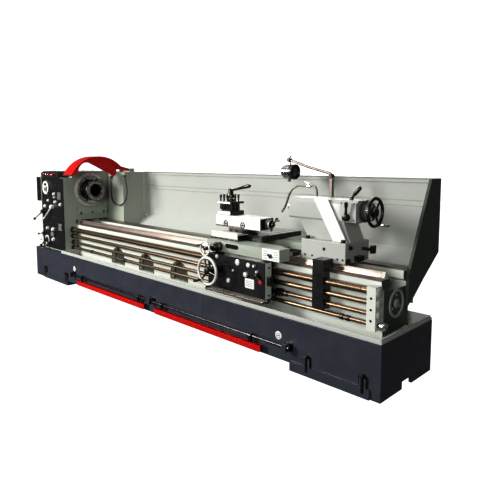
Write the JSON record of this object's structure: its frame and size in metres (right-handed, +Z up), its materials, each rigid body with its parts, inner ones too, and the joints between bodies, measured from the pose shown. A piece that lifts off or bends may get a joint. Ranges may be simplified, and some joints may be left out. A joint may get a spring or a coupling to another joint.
{
  "type": "metal lathe",
  "caption": "Long engine lathe with geared headstock, red chuck guard, carriage with four-way toolpost, tailstock, splash guard and foot brake on a full-length base.",
  "frame": {"origin": "on the floor under the middle of the whole machine; the spindle axis lies in the plane Y = 0, 1.02 m up", "axes": "+X along the bed from headstock to tailstock, -Y towards the operator, +Z up"},
  "size_m": [4.62, 1.068, 1.3987],
  "materials": {
    "body_paint": "satin grey-green machine enamel",
    "base_paint": "satin blue-black enamel",
    "black_paint": "semi-gloss black",
    "red_paint": "gloss signal red",
    "red_plastic": "gloss",
    "machined_steel": "ground and oiled",
    "chrome": "polished",
    "rubber": "matt"
  },
  "bodies": {
    "root": {"base": "base_paint", "chip_tray": "body_paint", "bed": "body_paint", "headstock": "body_paint", "headstock_cover": "body_paint", "gearbox": "body_paint", "front_panel": "black_paint", "control_box": "black_paint", "spindle_flange": "body_paint", "front_bearing": "machined_steel", "motor": "base_paint", "drive_belt": "rubber", "end_bracket": "body_paint", "guard_cable": "rubber", "cabinet": "body_paint", "splash_guard": "body_paint", "end_panel": "body_paint"},
    "end_cover": {"end_cover": "body_paint"},
    "stop_button": {"stop_button": "red_plastic"},
    "spindle": {"spindle": "chrome", "bull_gear": "machined_steel", "change_gear_a": "machined_steel"},
    "input_shaft": {"input_shaft": "machined_steel"},
    "idler": {"change_gear_b": "machined_steel"},
    "motor_rotor": {"motor_pulley": "machined_steel"},
    "lead_screw": {"lead_screw": "machined_steel", "change_gear_c": "machined_steel"},
    "feed_rod": {"feed_rod": "machined_steel"},
    "control_rod": {"control_rod": "machined_steel"},
    "stop_rod": {"stop_rod": "machined_steel"},
    "rod_support": {"rod_support": "black_paint"},
    "chuck_guard": {"chuck_guard": "red_paint"},
    "cabinet_door": {"cabinet_door": "body_paint"},
    "brake_pedal": {"brake_pedal": "red_paint"},
    "speed_dial": {"speed_dial": "chrome"},
    "range_lever": {"range_lever": "chrome"},
    "direction_lever": {"direction_lever": "black_paint"},
    "pitch_lever": {"pitch_lever": "black_paint"},
    "carriage": {"saddle": "body_paint", "apron": "black_paint", "lamp_post": "body_paint", "coolant_pipe": "machined_steel"},
    "apron_wheel": {"apron_wheel": "chrome"},
    "feed_lever": {"feed_lever": "red_plastic"},
    "start_lever": {"start_lever": "black_paint"},
    "cross_slide": {"cross_slide": "body_paint"},
    "cross_wheel": {"cross_wheel": "chrome"},
    "swivel_base": {"swivel_base": "black_paint"},
    "top_slide": {"top_slide": "machined_steel"},
    "compound_handle": {"compound_handle": "chrome"},
    "toolpost": {"toolpost": "black_paint"},
    "toolpost_lever": {"toolpost_lever": "black_paint"},
    "lamp_arm": {"lamp_arm": "machined_steel"},
    "lamp_head": {"lamp_head": "chrome"},
    "tailstock": {"tailstock_base": "body_paint", "tailstock_body": "body_paint"},
    "quill": {"quill": "chrome"},
    "tailstock_wheel": {"tailstock_wheel": "black_paint"},
    "quill_lock": {"quill_lock": "black_paint"},
    "tailstock_clamp": {"tailstock_clamp": "black_paint"}
  },
  "joints": [
    {"name": "spindle_turn", "type": "hinge", "parent": "root", "child": "spindle", "pos_m": [-1.6, 0, 1.02], "axis": [1, 0, 0], "continuous": true},
    {"name": "input_shaft_turn", "type": "hinge", "parent": "root", "child": "input_shaft", "pos_m": [-2, 0.1, 0.87033], "axis": [1, 0, 0], "continuous": true},
    {"name": "motor_turn", "type": "hinge", "parent": "root", "child": "motor_rotor", "pos_m": [-2.2, 0.06, 0.165], "axis": [1, 0, 0], "continuous": true},
    {"name": "idler_turn", "type": "hinge", "parent": "root", "child": "idler", "pos_m": [-2.2, -0.0268, 0.76139], "axis": [1, 0, 0], "continuous": true},
    {"name": "lead_screw_turn", "type": "hinge", "parent": "root", "child": "lead_screw", "pos_m": [0, -0.22, 0.58], "axis": [1, 0, 0], "continuous": true},
    {"name": "feed_rod_turn", "type": "hinge", "parent": "root", "child": "feed_rod", "pos_m": [0, -0.22, 0.51], "axis": [1, 0, 0], "continuous": true},
    {"name": "control_rod_turn", "type": "hinge", "parent": "root", "child": "control_rod", "pos_m": [0, -0.22, 0.442], "axis": [1, 0, 0], "range_deg": [-20, 20]},
    {"name": "stop_rod_slide", "type": "slide", "parent": "root", "child": "stop_rod", "axis": [1, 0, 0], "range_m": [-0.008, 0.012]},
    {"name": "rod_support_slide", "type": "slide", "parent": "root", "child": "rod_support", "axis": [1, 0, 0], "range_m": [-0.16, 0.27]},
    {"name": "end_cover_hinge", "type": "hinge", "parent": "root", "child": "end_cover", "pos_m": [-2.205, 0.222, 0.75], "axis": [0, 0, 1], "range_deg": [-105, 0]},
    {"name": "cabinet_door_hinge", "type": "hinge", "parent": "root", "child": "cabinet_door", "pos_m": [-2.15, 0.521, 0.79], "axis": [0, 0, 1], "range_deg": [0, 110]},
    {"name": "chuck_guard_hinge", "type": "hinge", "parent": "root", "child": "chuck_guard", "pos_m": [-1.52, 0.4, 1.244], "axis": [1, 0, 0], "range_deg": [-85, 0]},
    {"name": "stop_button_press", "type": "slide", "parent": "root", "child": "stop_button", "axis": [0, 1, 0], "range_m": [0, 0.006], "stiffness_N_per_m": 400},
    {"name": "brake_pedal_press", "type": "hinge", "parent": "root", "child": "brake_pedal", "pos_m": [0, -0.405, 0.153], "axis": [1, 0, 0], "range_deg": [0, 12], "stiffness_Nm_per_rad": 60},
    {"name": "speed_dial_turn", "type": "hinge", "parent": "root", "child": "speed_dial", "pos_m": [-2.048, -0.34, 1.043], "axis": [0, 1, 0], "range_deg": [-135, 135]},
    {"name": "range_lever_turn", "type": "hinge", "parent": "root", "child": "range_lever", "pos_m": [-1.908, -0.34, 0.828], "axis": [0, 1, 0], "range_deg": [-20, 40]},
    {"name": "direction_lever_turn", "type": "hinge", "parent": "root", "child": "direction_lever", "pos_m": [-2.159, -0.34, 0.76], "axis": [0, 1, 0], "range_deg": [-25, 25]},
    {"name": "pitch_lever_turn", "type": "hinge", "parent": "root", "child": "pitch_lever", "pos_m": [-2.094, -0.34, 0.43], "axis": [0, 1, 0], "range_deg": [-35, 35]},
    {"name": "carriage_slide", "type": "slide", "parent": "root", "child": "carriage", "axis": [1, 0, 0], "range_m": [-1.96, 0.01]},
    {"name": "apron_wheel_turn", "type": "hinge", "parent": "carriage", "child": "apron_wheel", "pos_m": [0.926, -0.45, 0.547], "axis": [0, 1, 0], "range_deg": [-29405, 155]},
    {"name": "feed_lever_turn", "type": "hinge", "parent": "carriage", "child": "feed_lever", "pos_m": [1.337, -0.362, 0.558], "axis": [0, 1, 0], "range_deg": [-20, 20]},
    {"name": "start_lever_turn", "type": "hinge", "parent": "carriage", "child": "start_lever", "pos_m": [1.424, -0.22, 0.442], "axis": [1, 0, 0], "range_deg": [-20, 20]},
    {"name": "cross_slide_slide", "type": "slide", "parent": "carriage", "child": "cross_slide", "axis": [0, 1, 0], "range_m": [-0.17, 0.13]},
    {"name": "cross_wheel_turn", "type": "hinge", "parent": "carriage", "child": "cross_wheel", "pos_m": [0.85, -0.405, 0.697], "axis": [0, 1, 0], "range_deg": [-12245, 9365]},
    {"name": "swivel_turn", "type": "hinge", "parent": "cross_slide", "child": "swivel_base", "pos_m": [0.87, -0.02, 0.8], "axis": [0, 0, 1], "range_deg": [-40, 40]},
    {"name": "top_slide_slide", "type": "slide", "parent": "swivel_base", "child": "top_slide", "axis": [1, 0, 0], "range_m": [-0.05, 0.08]},
    {"name": "compound_turn", "type": "hinge", "parent": "top_slide", "child": "compound_handle", "pos_m": [1.18, -0.02, 0.868], "axis": [1, 0, 0], "range_deg": [-3605, 5765]},
    {"name": "toolpost_turn", "type": "hinge", "parent": "top_slide", "child": "toolpost", "pos_m": [0.722, -0.02, 0.96], "axis": [0, 0, 1], "continuous": true},
    {"name": "toolpost_clamp_turn", "type": "hinge", "parent": "top_slide", "child": "toolpost_lever", "pos_m": [0.722, -0.02, 1.06], "axis": [0, 0, 1], "range_deg": [-30, 60]},
    {"name": "lamp_arm_swing", "type": "hinge", "parent": "carriage", "child": "lamp_arm", "pos_m": [1.506, 0.258, 1.22], "axis": [0, 0, 1], "range_deg": [-15, 75]},
    {"name": "lamp_head_pan", "type": "hinge", "parent": "lamp_arm", "child": "lamp_head", "pos_m": [1.105, 0.258, 1.32], "axis": [0, 0, 1], "range_deg": [-60, 60]},
    {"name": "tailstock_slide", "type": "slide", "parent": "root", "child": "tailstock", "axis": [1, 0, 0], "range_m": [-0.01, 0.12]},
    {"name": "tailstock_wheel_turn", "type": "hinge", "parent": "tailstock", "child": "tailstock_wheel", "pos_m": [2.022, 0, 1.02], "axis": [1, 0, 0], "range_deg": [-10800, 0]},
    {"name": "quill_slide", "type": "slide", "parent": "tailstock", "child": "quill", "axis": [1, 0, 0], "range_m": [-0.1505, 0]},
    {"name": "quill_lock_turn", "type": "hinge", "parent": "tailstock", "child": "quill_lock", "pos_m": [1.865, -0.03, 1.1], "axis": [0, 0, 1], "range_deg": [-40, 60]},
    {"name": "tailstock_clamp_turn", "type": "hinge", "parent": "tailstock", "child": "tailstock_clamp", "pos_m": [1.88, -0.115, 0.985], "axis": [0, 1, 0], "range_deg": [-35, 35]}
  ],
  "couplings": [
    {"joint": "input_shaft_turn", "follows": "spindle_turn", "ratio": -2},
    {"joint": "motor_turn", "follows": "spindle_turn", "ratio": -3.4},
    {"joint": "idler_turn", "follows": "spindle_turn", "ratio": -0.44444},
    {"joint": "lead_screw_turn", "follows": "spindle_turn", "ratio": 0.94118},
    {"joint": "feed_rod_turn", "follows": "spindle_turn", "ratio": 0.3},
    {"joint": "start_lever_turn", "follows": "control_rod_turn", "ratio": 1},
    {"joint": "apron_wheel_turn", "follows": "carriage_slide", "rad_per_m": 261.8},
    {"joint": "cross_wheel_turn", "follows": "cross_slide_slide", "rad_per_m": 1256.6},
    {"joint": "compound_turn", "follows": "top_slide_slide", "rad_per_m": 1256.6},
    {"joint": "quill_slide", "follows": "tailstock_wheel_turn", "m_per_rad": 0.00079577}
  ]
}
